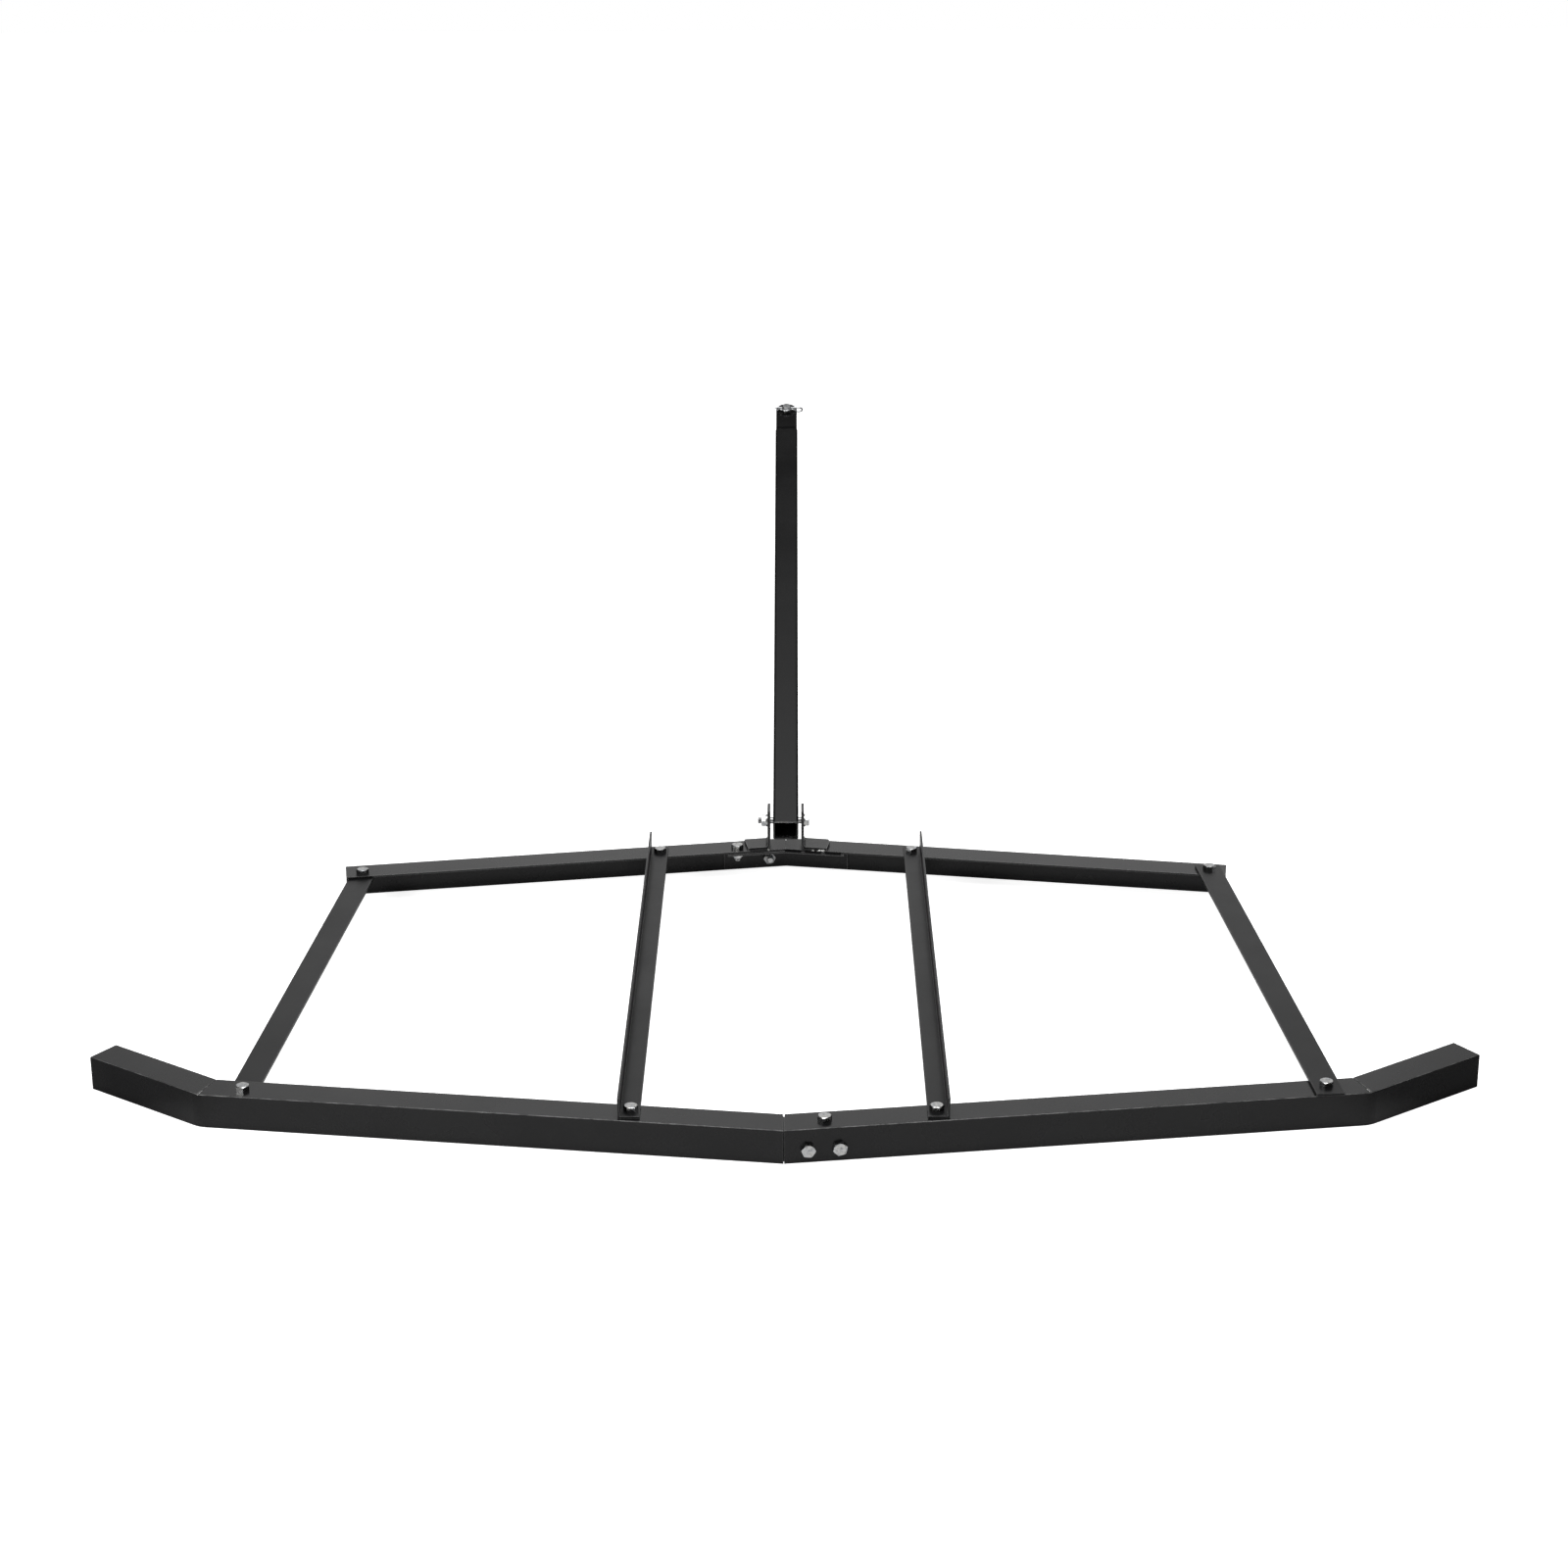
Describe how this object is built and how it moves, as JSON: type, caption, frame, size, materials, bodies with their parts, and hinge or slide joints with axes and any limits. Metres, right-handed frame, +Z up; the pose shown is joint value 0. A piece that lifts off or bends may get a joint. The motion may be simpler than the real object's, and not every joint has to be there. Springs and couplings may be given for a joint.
{
  "type": "drag harrow",
  "caption": "Towed grading drag: two shallow V beams of steel angle joined by flat straps and angle bars, with a hinged square tow bar, clevis end, hitch pin and spring clip.",
  "frame": {"origin": "middle of the outline in plan, on the ground under the beams", "axes": "+X to the right across the drag, +Y forward along the towing direction, +Z up"},
  "size_m": [1.88, 2.045, 0.5344],
  "materials": {
    "frame_paint": "satin black powder coat",
    "tow_bar_paint": "satin black powder coat",
    "painted_weld": "rough weld bead under black coat",
    "zinc_plate": "bright zinc plate",
    "zinc_pin": "bright zinc plate",
    "spring_wire": "plated spring wire",
    "nylon_insert": "moulded nylon"
  },
  "bodies": {
    "frame": {"rear_beam_left": "frame_paint", "rear_beam_right": "frame_paint", "rear_splice_angle": "frame_paint", "front_beam_left": "frame_paint", "front_beam_right": "frame_paint", "front_splice_angle": "frame_paint", "outer_strap_left": "frame_paint", "outer_strap_right": "frame_paint", "inner_bar_left": "frame_paint", "inner_bar_right": "frame_paint", "hitch_ear_left": "frame_paint", "hitch_ear_right": "frame_paint", "ear_welds": "painted_weld", "bend_welds": "painted_weld", "splice_welds": "painted_weld", "strap_bolts": "zinc_plate", "strap_lock_nuts": "zinc_plate", "bar_bolts": "zinc_plate", "bar_lock_nuts": "zinc_plate", "splice_bolts": "zinc_plate", "splice_lock_nuts": "zinc_plate", "pivot_bolt": "zinc_plate", "pivot_washers": "zinc_plate", "pivot_nut": "zinc_plate", "lock_nut_inserts": "nylon_insert"},
    "tow_bar": {"tow_bar_tube": "tow_bar_paint", "hitch_clevis": "tow_bar_paint", "clevis_welds": "painted_weld"},
    "hitch_pin": {"hitch_pin": "zinc_pin", "r_clip": "spring_wire"}
  },
  "joints": [
    {"name": "tow_bar_pivot", "type": "hinge", "parent": "frame", "child": "tow_bar", "pos_m": [0, -0.00511, 0.089], "axis": [1, 0, 0], "range_deg": [-50, 158.5]},
    {"name": "hitch_pin_swivel", "type": "hinge", "parent": "tow_bar", "child": "hitch_pin", "pos_m": [0, 0.9973, 0.50421], "axis": [0, -0.3827, 0.9239], "continuous": true}
  ]
}
